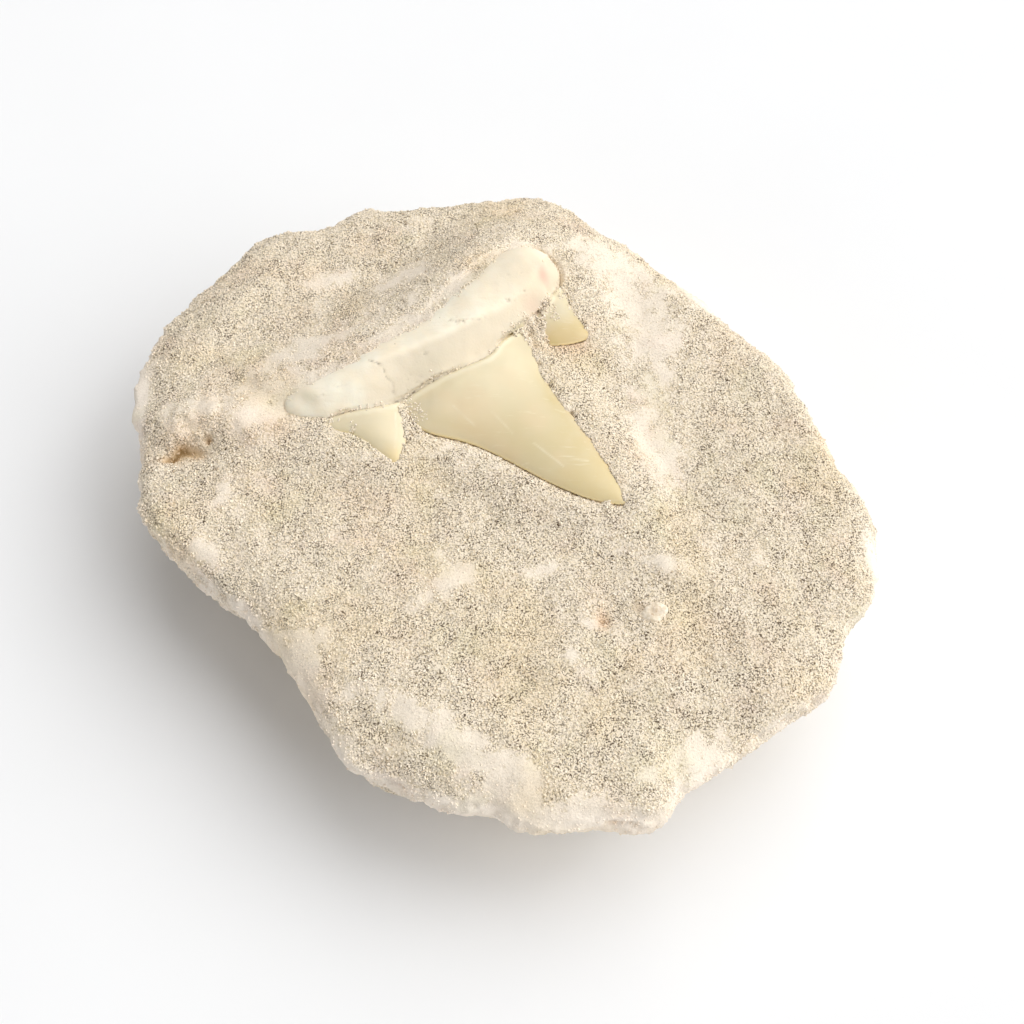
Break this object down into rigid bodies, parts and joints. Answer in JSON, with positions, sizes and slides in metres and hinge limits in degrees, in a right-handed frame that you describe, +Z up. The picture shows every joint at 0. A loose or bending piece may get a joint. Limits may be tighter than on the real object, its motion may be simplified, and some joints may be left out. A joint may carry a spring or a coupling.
{
  "type": "fossil shark tooth in matrix",
  "caption": "Fossil shark tooth with a broad root, a triangular crown and side cusplets, lying face up in a loose slab of pale sandy matrix with a flat underside",
  "frame": {"origin": "on the surface the slab lies on, under the middle of its bounding box", "axes": "+Z up, out of the face that carries the tooth; +X along the longest side of the slab; the tip of the crown points towards +X -Y and the root lies towards -X +Y"},
  "size_m": [0.097, 0.0924, 0.0284],
  "materials": {
    "matrix": "rough sandy surface of cemented pale grains, matte",
    "tooth": "matte cream root and smooth satin yellow-grey enamel crown",
    "bone": "matte pale bone",
    "enamel": "smooth satin enamel"
  },
  "bodies": {
    "root": {"matrix": "matrix", "tooth": "tooth", "bone_crumb": "bone", "enamel_splinter": "enamel"}
  },
  "joints": []
}
